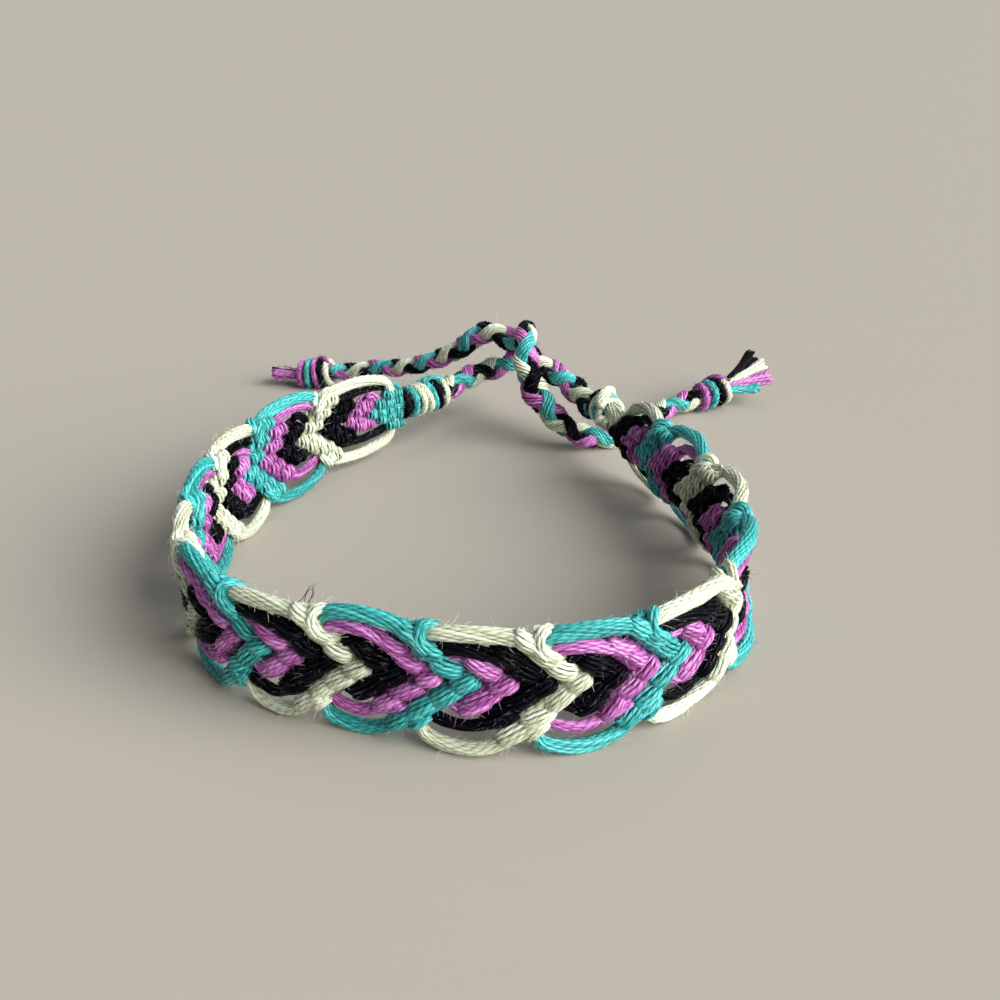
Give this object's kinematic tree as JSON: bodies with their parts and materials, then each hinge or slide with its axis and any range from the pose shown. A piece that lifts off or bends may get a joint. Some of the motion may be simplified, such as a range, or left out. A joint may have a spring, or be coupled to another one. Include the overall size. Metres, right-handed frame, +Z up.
{
  "type": "friendship bracelet",
  "caption": "Hand-knotted friendship bracelet in a petal pattern, standing on its edge, with braided ties knotted closed behind the loop.",
  "frame": {"origin": "on the surface that the band stands on, below the middle of the loop", "axes": "+Z up, across the band and along the wrist that it goes round; +Y from the front of the loop towards the ties; +X to the right as seen from the front"},
  "size_m": [0.0747, 0.0882, 0.0151],
  "materials": {
    "cream_floss": "pale cream cotton embroidery floss with a soft sheen",
    "turquoise_floss": "turquoise cotton embroidery floss with a soft sheen",
    "pink_floss": "orchid pink cotton embroidery floss with a soft sheen",
    "black_floss": "black cotton embroidery floss with a soft sheen"
  },
  "bodies": {
    "root": {"band": "turquoise_floss", "end_knot_left": "turquoise_floss", "end_knot_right": "cream_floss", "braid_left": "black_floss", "braid_right": "pink_floss", "stopper_left": "pink_floss", "stopper_right": "turquoise_floss", "tassel_left": "pink_floss", "tassel_right": "cream_floss"}
  },
  "joints": []
}
